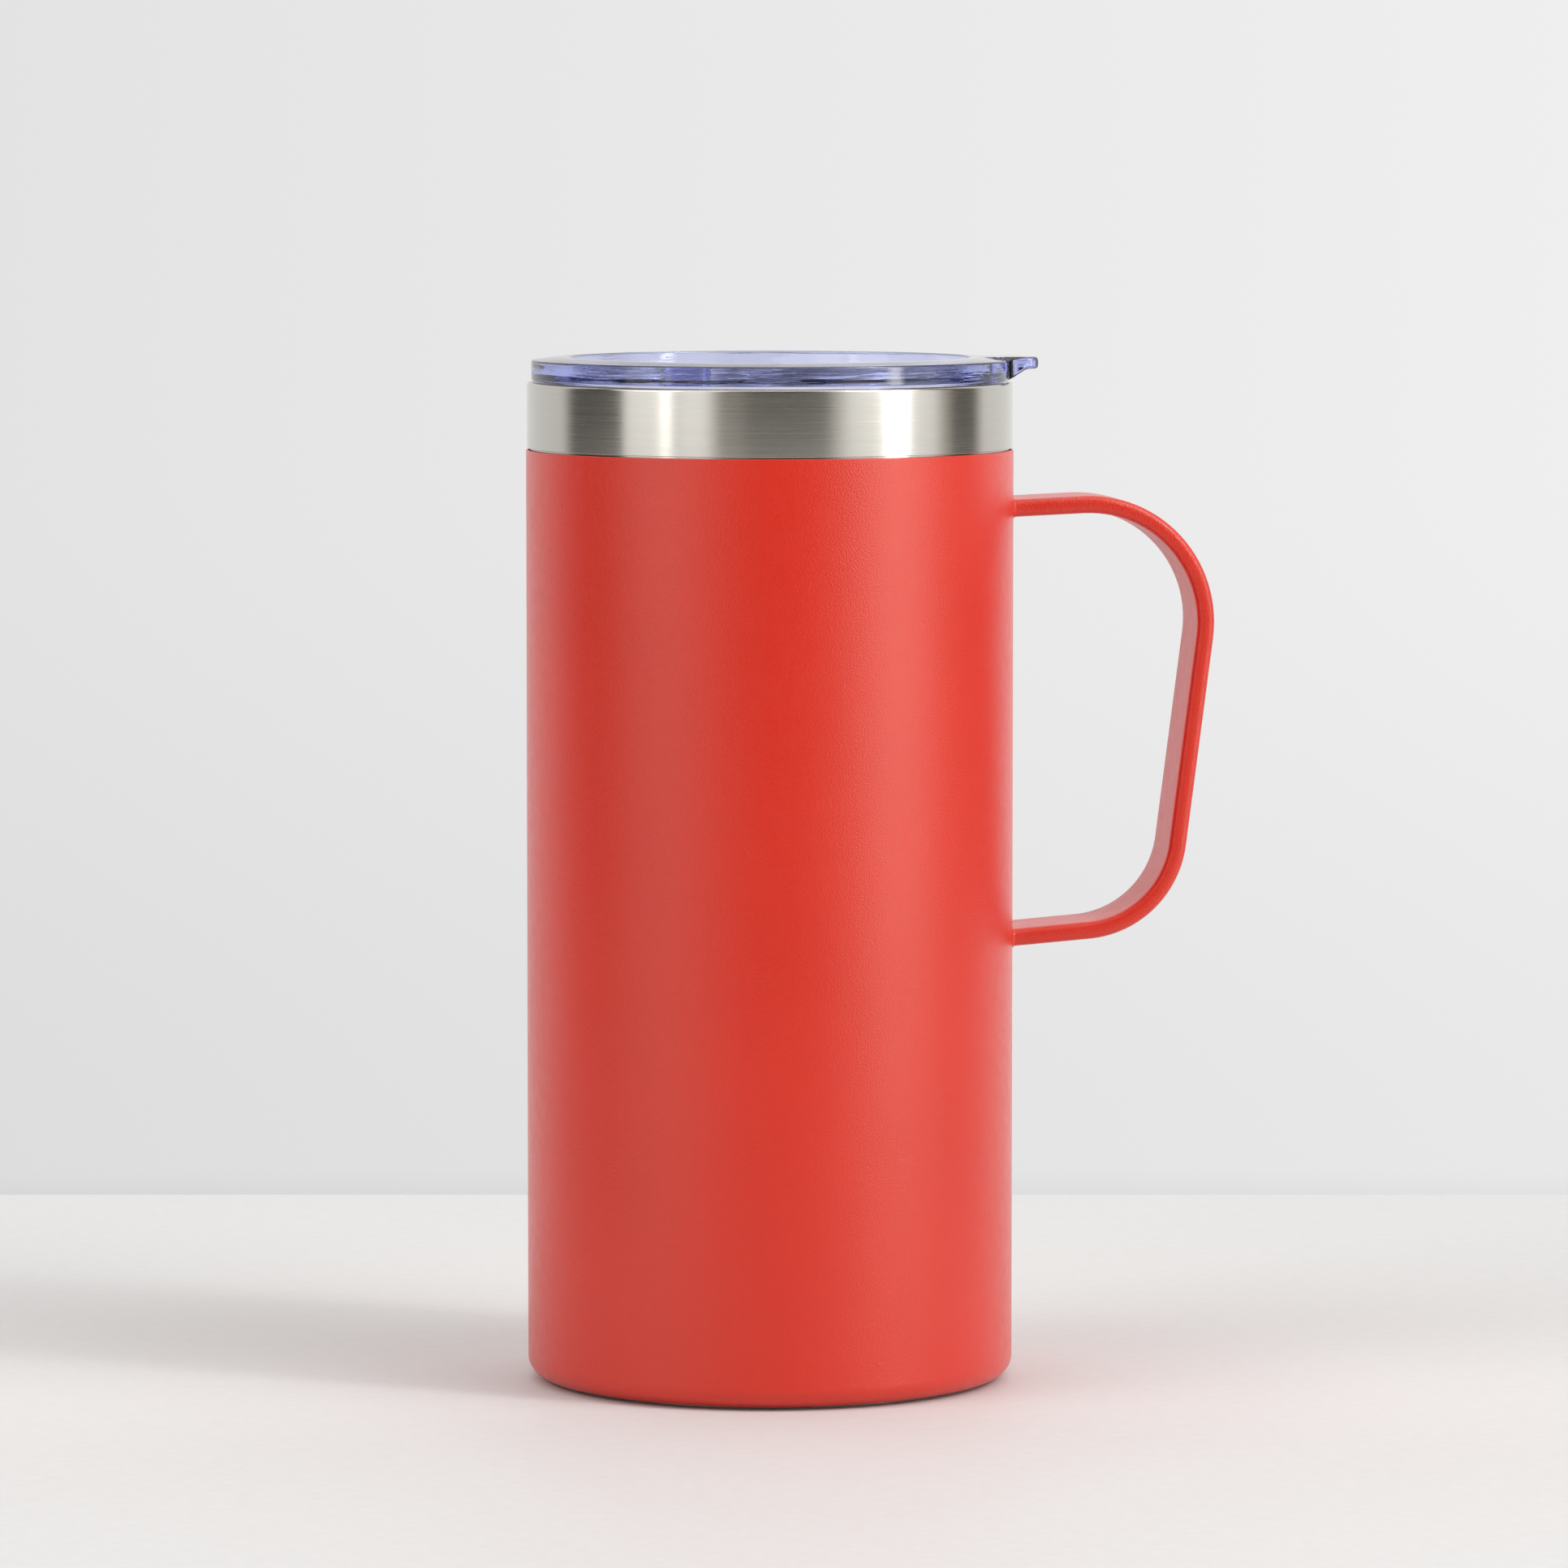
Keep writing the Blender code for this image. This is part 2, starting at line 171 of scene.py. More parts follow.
def skin(shape, rings, closed=False):
    """Faces between each ring of points and the next. A ring of one point is a pole."""
    made = [[shape.verts.new(Vector(point) * MM) for point in ring] for ring in rings]
    pairs = list(zip(made, made[1:]))
    if closed:
        pairs.append((made[-1], made[0]))
    for upper, lower in pairs:
        count = max(len(upper), len(lower))
        for i in range(count):
            j = (i + 1) % count
            corners = [upper[i % len(upper)], lower[i % len(lower)]]
            corners += [lower[j % len(lower)], upper[j % len(upper)]]
            shape.faces.new(list(dict.fromkeys(corners)))
    return made


def circle(radius, height, steps=TURN_STEPS):
    """Points round the mug's axis, or one point if the radius is 0."""
    if radius == 0:
        return [(0, 0, height)]
    angles = [math.tau * i / steps for i in range(steps)]
    return [(radius * math.cos(a), radius * math.sin(a), height) for a in angles]


def turned(name, outline, at=(0, 0, 0), steps=TURN_STEPS):
    """A turned solid from an outline of (radius, height), which runs down its outer side."""
    shape = bmesh.new()
    skin(shape, [circle(r, z, steps) for r, z in outline], closed=outline[0][0] > 0)
    bmesh.ops.translate(shape, verts=shape.verts, vec=Vector(at) * MM)
    return finished(name, shape)


def slab(name, outline, rows):
    """A slab with an outline of (x, y) that goes anticlockwise, and rows of (inset, height)."""
    normals = outward(outline)
    shape = bmesh.new()
    rings = []
    for inset, z in reversed(rows):
        rings.append([(*(p - n * inset), z) for p, n in zip(outline, normals)])
    made = skin(shape, rings)
    shape.faces.new(made[0])
    shape.faces.new(list(reversed(made[-1])))
    return finished(name, shape)


def combine(piece, other, operation):
    """Joins another piece to this one or cuts it away, and removes the other one."""
    step = piece.modifiers.new(other.name, "BOOLEAN")
    step.operation = operation
    step.solver = "EXACT"
    step.object = other
    graph = bpy.context.evaluated_depsgraph_get()
    mesh = bpy.data.meshes.new_from_object(piece.evaluated_get(graph))
    piece.modifiers.clear()
    piece.data = mesh
    mesh.shade_smooth()
    mesh.set_sharp_from_angle(angle=SMOOTH_ANGLE)
    bpy.data.objects.remove(other)
    return piece


def place(piece, body, node, slot, finish):
    """Gives a piece its finish and lets it stand for its CAD node."""
    piece.data.materials.clear()
    piece.data.materials.append(finish)
    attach(piece, body)
    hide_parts(node)


# ---------------------------------------------------------------- materials


class Finish:
    """A material round one Principled shader, with the nodes that the finishes share."""

    def __init__(self, name, **sockets):
        self.material = bpy.data.materials.new(name)
        self.material.use_nodes = True
        self.tree = self.material.node_tree
        self.shader = self.tree.nodes["Principled BSDF"]
        for socket, value in sockets.items():
            self.shader.inputs[socket.replace("_", " ")].default_value = value
        self.place = self.add("ShaderNodeTexCoord").outputs["Object"]

    def add(self, kind, **settings):
        """A new node, with its settings."""
        node = self.tree.nodes.new(kind)
        for key, value in settings.items():
            setattr(node, key, value)
        return node

    def link(self, source, target):
        self.tree.links.new(source, target)

    def math(self, operation, *values):
        """The result of a math node, from numbers or sockets."""
        node = self.add("ShaderNodeMath", operation=operation)
        for socket, value in zip(node.inputs, values):
            if isinstance(value, (int, float)):
                socket.default_value = value
            else:
                self.link(value, socket)
        return node.outputs[0]

    def stretched(self, scale, source=None):
        """The object's coordinates in metres, times a scale along each axis."""
        node = self.add("ShaderNodeMapping")
        node.inputs["Scale"].default_value = scale
        self.link(source or self.place, node.inputs["Vector"])
        return node.outputs[0]

    def noise(self, scale, detail=2.0, roughness=0.5, source=None):
        """Noise with features of about 1 / scale metres, or one scale for each axis."""
        node = self.add("ShaderNodeTexNoise")
        if isinstance(scale, tuple):
            self.link(self.stretched(scale, source), node.inputs["Vector"])
            scale = 1.0
        else:
            self.link(source or self.place, node.inputs["Vector"])
        node.inputs["Scale"].default_value = scale
        node.inputs["Detail"].default_value = detail
        node.inputs["Roughness"].default_value = roughness
        return node.outputs[0]

    def cells(self, scale, feature="SMOOTH_F1"):
        """The distance to the nearest of scattered points, 1 / scale metres apart."""
        node = self.add("ShaderNodeTexVoronoi", feature=feature)
        self.link(self.place, node.inputs["Vector"])
        node.inputs["Scale"].default_value = scale
        return node.outputs["Distance"]

    def spread(self, source, low, high, source_low=0.3, source_high=0.7):
        """Maps a noise's usual values to a range."""
        node = self.add("ShaderNodeMapRange")
        values = (source_low, source_high, low, high)
        for name, value in zip(("From Min", "From Max", "To Min", "To Max"), values):
            node.inputs[name].default_value = value
        self.link(source, node.inputs["Value"])
        return node.outputs[0]

    def vary(self, socket, source, low, high):
        """Lets a shader value follow a noise."""
        self.link(self.spread(source, low, high), self.shader.inputs[socket])

    def tint(self, source, dark, light):
        """Colours the surface between two colours."""
        node = self.add("ShaderNodeMix", data_type="RGBA")
        self.link(self.spread(source, 0.0, 1.0), node.inputs["Factor"])
        colours = [socket for socket in node.inputs if socket.type == "RGBA"]
        for socket, colour in zip(colours, (dark, light)):
            socket.default_value = (*colour, 1)
        result = next(socket for socket in node.outputs if socket.type == "RGBA")
        self.link(result, self.shader.inputs["Base Color"])

    def bump(self, *layers):
        """Bumps from (height source, depth in metres) pairs."""
        normal = None
        for source, depth in layers:
            node = self.add("ShaderNodeBump")
            node.inputs["Distance"].default_value = depth
            self.link(source, node.inputs["Height"])
            if normal:
                self.link(normal, node.inputs["Normal"])
            normal = node.outputs[0]
        self.link(normal, self.shader.inputs["Normal"])
        self.link(normal, self.shader.inputs["Coat Normal"])


def powder_coat_finish():
    """Coral red powder coat, with a fine orange peel."""
    finish = Finish("coral_powder_coat", Coat_Weight=0.45, Coat_Roughness=0.2,
                    Specular_Tint=(1.0, 0.9, 0.72, 1))
    peel = finish.noise(3800, roughness=0.55)
    pores = finish.cells(4500)
    slow = finish.noise(35)
    finish.tint(slow, (0.655, 0.0200, 0.0075), (0.685, 0.0225, 0.0095))
    finish.vary("Roughness", finish.noise(420, detail=3.0), 0.34, 0.41)
    finish.bump((pores, 1.6e-5), (peel, 7.5e-5))
    return finish.material


def brushed_finish(name, colour, roughness, along):
    """Steel with brush lines: along is 'round' the axis or 'rings' on a flat disc."""
    finish = Finish(name, Metallic=1.0, Anisotropic=0.85, Anisotropic_Rotation=0.25)
    if along == "round":
        lines = finish.noise((40, 40, 9000), detail=3.0, roughness=0.6)
        broad = finish.noise((25, 25, 1200))
    else:
        place = finish.add("ShaderNodeSeparateXYZ")
        finish.link(finish.place, place.inputs[0])
        square = finish.math("POWER", place.outputs["X"], 2.0)
        other = finish.math("POWER", place.outputs["Y"], 2.0)
        radius = finish.math("SQRT", finish.math("ADD", square, other))
        ring = finish.add("ShaderNodeCombineXYZ")
        finish.link(radius, ring.inputs["X"])
        finish.link(place.outputs["Z"], ring.inputs["Y"])
        lines = finish.noise((2600, 2600, 1), source=ring.outputs[0])
        broad = finish.noise((450, 450, 1), source=ring.outputs[0])
    dark = tuple(0.975 * channel for channel in colour)
    finish.tint(broad, dark, colour)
    finish.vary("Roughness", lines, roughness - 0.03, roughness + 0.04)
    tangent = finish.add("ShaderNodeTangent", direction_type="RADIAL", axis="Z")
    finish.link(tangent.outputs[0], finish.shader.inputs["Tangent"])
    finish.bump((lines, 1.1e-6))
    return finish.material


def clear_plastic_finish():
    """Clear plastic with a blue-violet tint that deepens with its thickness."""
    finish = Finish("clear_tinted_plastic", IOR=1.54, Transmission_Weight=1.0,
                    Base_Color=(0.975, 0.98, 1.0, 1))
    finish.vary("Roughness", finish.noise(260, detail=3.0), 0.0, 0.02)
    flow = finish.noise((38, 38, 620), roughness=0.45)
    finish.bump((finish.noise((90, 90, 1500)), 5e-5), (flow, 1.8e-4))
    volume = finish.add("ShaderNodeVolumeAbsorption")
    volume.inputs["Color"].default_value = (0.16, 0.24, 1.0, 1)
    volume.inputs["Density"].default_value = 50.0
    output = finish.tree.nodes["Material Output"]
    finish.link(volume.outputs[0], output.inputs["Volume"])
    return finish.material


def silicone_finish():
    """Milky silicone rubber with a satin skin."""
    finish = Finish("translucent_silicone", Transmission_Weight=0.35, IOR=1.41)
    finish.tint(finish.noise(60), (0.78, 0.80, 0.86), (0.84, 0.86, 0.91))
    finish.vary("Roughness", finish.noise(900), 0.38, 0.5)
    finish.bump((finish.noise(2600), 1.5e-5))
    return finish.material


def foil_finish():
    """Crinkled foil: sharp creases between flat facets."""
    finish = Finish("crinkled_foil", Metallic=1.0)
    creases = finish.cells(110, feature="F1")
    finish.tint(finish.noise(40), (0.84, 0.85, 0.86), (0.90, 0.91, 0.92))
    finish.vary("Roughness", finish.noise(300, detail=3.0), 0.16, 0.26)
    finish.bump((creases, 1.6e-3), (finish.noise(700, detail=3.0), 1e-4))
    return finish.material


def solder_glass_finish():
    """Dark solder glass, glossy where it has flowed."""
    finish = Finish("fused_solder_glass", Coat_Weight=0.6)
    finish.tint(finish.noise(900, detail=4.0), (0.05, 0.07, 0.065), (0.13, 0.15, 0.14))
    finish.vary("Roughness", finish.noise(1600), 0.08, 0.3)
    finish.bump((finish.noise(1200), 8e-5))
    return finish.material


def getter_finish():
    """Pressed metal powder, dull and grainy."""
    finish = Finish("pressed_getter_powder", Metallic=0.6)
    finish.tint(finish.noise(5000, detail=3.0), (0.06, 0.06, 0.065), (0.22, 0.22, 0.23))
    finish.vary("Roughness", finish.noise(3000), 0.65, 0.9)
    finish.bump((finish.cells(6000), 8e-5))
    return finish.material


# ---------------------------------------------------------------- steel body


def steel_shell():
    """The outer wall: a rolled lip, the bare brushed band, the side and the foot ring."""
    inner = BODY - COAT - GAP
    bore = inner - SHEET
    seam = LINER  # the lip is welded to the liner
    corner = BASE_CORNER - COAT - GAP
    rise = FOOT + BASE_CORNER - corner
    corners = [(seam, LIP, 0.2), (BAND, LIP, 0.5), (BAND, COAT_TOP + GAP, 0.1)]
    corners += [(inner, COAT_TOP + GAP), (inner, rise, corner), (FOOT_OUTER, rise)]
    corners += [(FOOT_OUTER, 0, 0.25), (FOOT_INNER, 0, 0.25), (FOOT_INNER, FOOT_RISE)]
    corners += [(FOOT_INNER + SHEET, FOOT_RISE), (FOOT_INNER + SHEET, rise + SHEET)]
    corners += [(bore, rise + SHEET, corner - SHEET), (bore, LIP - SHEET), (seam, LIP - SHEET)]
    return turned("steel_shell", rounded(corners, steps=10))


def coat_skin():
    """The coat from its masked edge below the band, down the side and round the base corner."""
    inner = BODY - COAT
    corner = (BODY - BASE_CORNER, BASE_CORNER + FOOT)
    outline = [Vector((inner, COAT_TOP))]
    outline += arc((BODY - 0.2, COAT_TOP - 0.2), 0.2, 90, 0, 4)
    outline += arc(corner, BASE_CORNER, 0, -90, 14)
    outline += arc(corner, BASE_CORNER - COAT, -90, 0, 8)
    return turned("coat_skin", outline)


def liner_wall():
    """The inner steel wall, up to the lip."""
    low = bottom("liner_tube")
    bore = LINER - SHEET
    corners = [(bore, LIP, 0.2), (LINER, LIP, 0.1), (LINER, low), (bore, low)]
    return turned("liner_wall", rounded(corners))


def liner_base():
    """The liner's stamped bottom: a welded edge, a round corner and a raised middle."""
    bore = LINER - SHEET
    edge = top("liner_bottom")
    under = bottom("liner_bottom")
    floor = under + SHEET
    ring, step = 24.0, 0.8
    corners = [(0, floor + step), (ring - 0.7, floor + step, 1.0), (ring + 0.8, floor, 1.0)]
    corners += [(bore, floor, 5.5), (bore, edge), (LINER, edge), (LINER, under, 6.0)]
    corners += [(ring + 1.0, under, 1.0), (ring - 0.5, under + step, 1.0), (0, under + step)]
    return turned("liner_base", rounded(corners, closed=False, steps=8))


def foot_disc():
    """The flat disc pressed into the foot ring, with a shallow groove round its edge."""
    edge = BASE_DISC
    height = top("base_cover")
    corners = [(0, SHEET), (edge - SHEET, SHEET, 0.3), (edge - SHEET, height), (edge, height)]
    corners += [(edge, 0, 0.45), (30.6, 0, 0.3), (30.2, 0.2, 0.2), (29.0, 0.2, 0.2)]
    corners += [(28.6, 0, 0.3), (0, 0)]
    return turned("foot_disc", rounded(corners, closed=False))


# ---------------------------------------------------------------- in the vacuum gap


def foil_wrap():
    """Aluminium foil round the liner."""
    inner = LINER + GAP
    outer = reach("radiation_foil")
    low, high = bottom("radiation_foil"), top("radiation_foil")
    corners = [(inner, high), (outer, high), (outer, low), (inner, low)]
    return turned("foil_wrap", rounded(corners), steps=96)


def vacuum_dish():
    """The dish that closes the vacuum gap, with the pump-out hole in a dimple."""
    wide = reach("vacuum_base")
    low, high = bottom("vacuum_base"), top("vacuum_base")
    hole, dimple, rise = 1.2, 6.5, 1.4
    corners = [(wide - SHEET, high), (wide, high), (wide, low, 2.0), (dimple + 1.0, low, 0.6)]
    corners += [(dimple, low + rise, 0.6), (hole, low + rise), (hole, low + rise + SHEET)]
    corners += [(dimple + 0.5, low + rise + SHEET, 0.6), (dimple + 1.5, low + SHEET, 0.6)]
    corners += [(wide - SHEET, low + SHEET, 1.5)]
    return turned("vacuum_dish", rounded(corners))


def solder_bead():
    """The glass that plugs the pump-out hole."""
    wide = reach("seal_glass")
    low, high = bottom("seal_glass"), top("seal_glass")
    corners = [(0, high), (wide - 0.8, high, 0.8), (wide, high - 0.5, 0.3)]
    corners += [(wide - 0.7, low + 0.15, 0.3), (0, low)]
    return turned("solder_bead", rounded(corners, closed=False), steps=64)


def getter_place(node):
    """The foot of a getter node's own axis."""
    low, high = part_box(node)
    return ((low.x + high.x) / 2 / MM, 0, low.z / MM)


def getter_cup():
    """A small steel cup."""
    wide, high = reach("getter_holder"), top("getter_holder") - bottom("getter_holder")
    corners = [(0, 0.4), (wide - 0.4, 0.4, 0.3), (wide - 0.4, high, 0.15), (wide, high, 0.15)]
    corners += [(wide, 0, 0.4), (0, 0)]
    return turned("getter_cup", rounded(corners, closed=False), getter_place("getter_holder"), 64)


def getter_disc():
    """The pressed powder in the cup, with a dished top."""
    wide, high = reach("getter_pellet"), top("getter_pellet") - bottom("getter_pellet")
    corners = [(0, high - 0.1), (wide * 0.6, high - 0.1, 1.0), (wide - 0.3, high, 0.2)]
    corners += [(wide, high - 0.3, 0.2), (wide, 0, 0.2), (0, 0)]
    return turned("getter_disc", rounded(corners, closed=False), getter_place("getter_pellet"), 64)


# ---------------------------------------------------------------- handle

STRAP_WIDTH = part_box("handle")[1].y / MM * 2
STRAP_THICKNESS = 3.0
STRAP_EDGE = 1.15
ARM_START = BODY - 4  # inside the wall, where the middle line of each arm starts
HIGH_ARM, LOW_ARM = 150.7, 76.25  # heights of the arms there
HIGH_BEND, LOW_BEND = (78.1, 152.5, 20.5), (68.6, 78.75, 17.0)  # (x, z, radius)
BEND_STEPS = 28
WELD = 0.5  # radius of the coated weld round each end


def strap_path():
    """(point, direction) along the strap's middle line in (x, z), without its two ends."""
    corners = [(ARM_START, HIGH_ARM), HIGH_BEND, LOW_BEND, (ARM_START, LOW_ARM)]
    line = rounded(corners, closed=False, steps=BEND_STEPS)
    bend_end = BEND_STEPS + 1
    high_arm = [line[0].lerp(line[1], share) for share in (0.25, 0.45, 0.65, 0.85)]
    low_arm = [line[-2].lerp(line[-1], share) for share in (0.15, 0.35, 0.55, 0.75)]
    grip = [line[bend_end].lerp(line[bend_end + 1], share) for share in (0.2, 0.4, 0.6, 0.8)]
    line = ([line[0]] + high_arm + line[1:bend_end + 1] + grip
            + line[bend_end + 1:-1] + low_arm + [line[-1]])
    ways = []
    for i, here in enumerate(line):
        before = line[max(i - 1, 0)]
        after = line[min(i + 1, len(line) - 1)]
        ways.append((here, (after - before).normalized()))
    return ways


def strap_section():
    """The strap's section as (across, out) offsets, anticlockwise, with rounded edges."""
    half_width, half = STRAP_WIDTH / 2, STRAP_THICKNESS / 2
    corners = [(half_width, -half, STRAP_EDGE), (half_width, half, STRAP_EDGE)]
    corners += [(-half_width, half, STRAP_EDGE), (-half_width, -half, STRAP_EDGE)]
    corner_points = rounded(corners, steps=5)
    points = []
    for i, here in enumerate(corner_points):
        after = corner_points[(i + 1) % len(corner_points)]
        cuts = 8 if (after - here).length > STRAP_THICKNESS else 2
        if (after - here).length < STRAP_EDGE:
            cuts = 1
        points += [here.lerp(after, k / cuts) for k in range(cuts)]
    return points


def handle_strap():
    """A bent flat bar that meets the mug's round side in a small coated weld."""
    section = strap_section()
    normals = outward(section)
    path = strap_path()

    def ring_on_path(point, way):
        out = Vector((-way.y, way.x))
        ring = []
        for across, along_out in section:
            place = point + out * along_out
            ring.append((place.x, across, place.y))
        return ring

    def ring_on_wall(point, way, off_wall):
        """A ring that follows the wall at a distance, and flares as it comes near."""
        share = min(max((WELD - off_wall) / WELD, 0.0), 1.0)
        flare = WELD * (1 - math.sqrt(1 - share**2))
        out = Vector((-way.y, way.x))
        ring = []
        for offset, normal in zip(section, normals):
            across, along_out = offset + normal * flare
            x = math.sqrt((BODY + off_wall) ** 2 - across**2)
            height = point.y + (x - point.x) * way.y / way.x
            ring.append((x, across, height + out.y * along_out))
        return ring

    offs = [-0.15] + [WELD * (1 - math.cos(math.pi / 2 * k / 6)) for k in range(7)]
    rings = [ring_on_wall(*path[0], off) for off in offs]
    rings += [ring_on_path(*step) for step in path[2:-2]]
    rings += [ring_on_wall(*path[-1], off) for off in reversed(offs)]
    shape = bmesh.new()
    made = skin(shape, rings)
    shape.faces.new(list(reversed(made[0])))
    shape.faces.new(made[-1])
    bmesh.ops.recalc_face_normals(shape, faces=shape.faces)
    return finished("handle_strap", shape)


# ---------------------------------------------------------------- lid

WELL = 34.2  # radius of the lid's well, above a ledge in its wall
WELL_FOOT = 33.4  # its radius at the floor
WELL_FLOOR = -4.3
LEDGE = 1.0
TOP_SLOPE = 0.45  # fall of the flange's top towards its edge
TOP_EDGE, BOTTOM_EDGE = 0.4, 0.3  # radii of the flange's edges
TAB_EXTRA = 0.3  # how much larger they are on the tab
LID_FLOOR = 1.8
PLUG = 36.5
GROOVE = PLUG - 0.9
GROOVE_TOP, GROOVE_BOTTOM = -1.8, -6.8
SKIRT = -8.8
TAB_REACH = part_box("lid_body")[1].x / MM
TAB_HALF = 7.5
SLIDER_HALF = 13.0
SIP_X = -28.0


def lid_plan():
    """The flange's outline from above, with the pull tab on +X and a fillet at its root."""
    fillet, tip = 2.0, 2.6
    fillet_y = TAB_HALF + fillet
    fillet_x = math.sqrt((FLANGE + fillet) ** 2 - fillet_y**2)
    root = math.degrees(math.atan2(fillet_y, fillet_x))
    side = arc((TAB_REACH - tip, TAB_HALF - tip), tip, 0, 90, 10)
    side += arc((fillet_x, fillet_y), fillet, 270, 180 + root, 10)
    end = [Vector((TAB_REACH, share * (TAB_HALF - tip))) for share in (0, 0.33, 0.67)]
    upper = end + side + arc((0, 0), FLANGE, root, 180, 96)[1:]
    lower = [Vector((p.x, -p.y)) for p in reversed(upper[1:-1])]
    return upper + lower


def under_height(radius):
    """The height of the flange's underside, which rises along the tab."""
    share = min(max((radius - FLANGE + 0.2) / 3.6, 0.0), 1.0)
    return GAP + 1.95 * (share * share * (3 - 2 * share) * 0.55 + share * 0.45)


def clear_lid():
    """The flange with its tab, the well, and the plug with the gasket's groove."""
    plan = lid_plan()
    normals = outward(plan)
    angles = [math.atan2(p.y, p.x) for p in plan]

    def around(radius, height):
        if radius == 0:
            return [(0, 0, height + LIP)]
        return [(radius * math.cos(a), radius * math.sin(a), height + LIP) for a in angles]

    well = [(0, WELL_FLOOR), (WELL_FOOT, WELL_FLOOR, 0.6), (WELL_FOOT + 0.3, LEDGE, 0.3)]
    well += [(WELL + 0.1, LEDGE + 0.5, 0.3), (WELL + 0.2, FLANGE_TOP, 0.35)]
    well += [(WELL + 2.4, FLANGE_TOP, 0.5)]
    rings = [around(*point) for point in rounded(well, closed=False, steps=8)]

    tabness = [min(max((p.length - FLANGE) / 3.0, 0.0), 1.0) for p in plan]
    steps = 8
    for k in range(steps + 1):  # over the top edge
        angle = math.pi / 2 * k / steps
        ring = []
        for p, n, tab in zip(plan, normals, tabness):
            radius = TOP_EDGE + TAB_EXTRA * tab
            spot = p - n * radius * (1 - math.sin(angle))
            edge = FLANGE_TOP - TOP_SLOPE * (1 - tab)
            ring.append((*spot, edge - radius * (1 - math.cos(angle)) + LIP))
        rings.append(ring)
    for k in range(steps + 1):  # round the bottom edge
        angle = math.pi / 2 * k / steps
        ring = []
        for p, n, tab in zip(plan, normals, tabness):
            radius = BOTTOM_EDGE + TAB_EXTRA * tab
            spot = p - n * radius * (1 - math.cos(angle))
            height = under_height(spot.length) + radius * (1 - math.sin(angle))
            ring.append((*spot, height + LIP))
        rings.append(ring)
    last = rings[-1]
    for k in range(1, 9):  # in under the tab
        ring = []
        for (x, y, _), a in zip(last, angles):
            inner = Vector((math.cos(a), math.sin(a))) * (FLANGE - 0.9)
            spot = Vector((x, y)).lerp(inner, k / 8)
            ring.append((*spot, under_height(spot.length) + LIP))
        rings.append(ring)

    under = WELL_FLOOR - LID_FLOOR
    plug = [(FLANGE - 1.6, GAP), (PLUG, GAP, 0.5), (PLUG, GROOVE_TOP, 0.2)]
    plug += [(GROOVE, GROOVE_TOP, 0.2), (GROOVE, GROOVE_BOTTOM, 0.2)]
    plug += [(PLUG + 0.3, GROOVE_BOTTOM, 0.2), (PLUG + 0.3, SKIRT + 1.2, 0.4)]
    plug += [(PLUG - 0.3, SKIRT, 0.4), (WELL + 0.6, SKIRT, 0.4), (WELL + 0.6, under, 0.5)]
    plug += [(0, under)]
    rings += [around(*point) for point in rounded(plug, closed=False, steps=5)]
    shape = bmesh.new()
    skin(shape, rings)
    lid = finished("clear_lid", shape)

    for side in (-1, 1):
        combine(lid, rail(side), "UNION")
    slots = {
        "sip_cut": [(SIP_X + 3.5, -10, 3.49), (SIP_X + 3.5, 10, 3.49)]
        + [(SIP_X - 3.5, 10, 3.49), (SIP_X - 3.5, -10, 3.49)],
        "guide_cut": [(0, -2.5, 0.8), (0, 2.5, 0.8), (-20.6, 2.5, 0.8), (-20.6, -2.5, 0.8)],
        "vent_cut": [(28, -1, 0.99), (28, 1, 0.99), (26, 1, 0.99), (26, -1, 0.99)],
    }
    for name, corners in slots.items():
        combine(lid, slot_cutter(name, corners, under), "DIFFERENCE")
    return lid


def slot_cutter(name, corners, under):
    """A cutter for a slot through the floor, which rounds the slot's upper edge."""
    outline = rounded(corners, steps=8)
    lead = 0.45
    rows = [(0, under - 1 + LIP), (0, WELL_FLOOR - lead + LIP)]
    for k in range(1, 5):
        angle = math.pi / 2 * k / 4
        rows.append((-lead * (1 - math.cos(angle)), WELL_FLOOR - lead * (1 - math.sin(angle)) + LIP))
    rows.append((-lead, WELL_FLOOR + 1 + LIP))
    return slab(name, outline, rows)


def rail(side):
    """A low rail on the well's floor, beside the slider."""
    near, far = SLIDER_HALF + GAP, SLIDER_HALF + GAP + 1.6
    ys = (near, far) if side > 0 else (-far, -near)
    front, back = 24, -27
    corners = [(front, ys[0], 0.7), (front, ys[1], 0.7), (back, ys[1], 0.7), (back, ys[0], 0.7)]
    rows = rounded_edge(WELL_FLOOR - 0.5 + LIP, WELL_FLOOR + 1.7 + LIP, 0.0, 0.5)
    return slab("rail", rounded(corners), rows[4:])


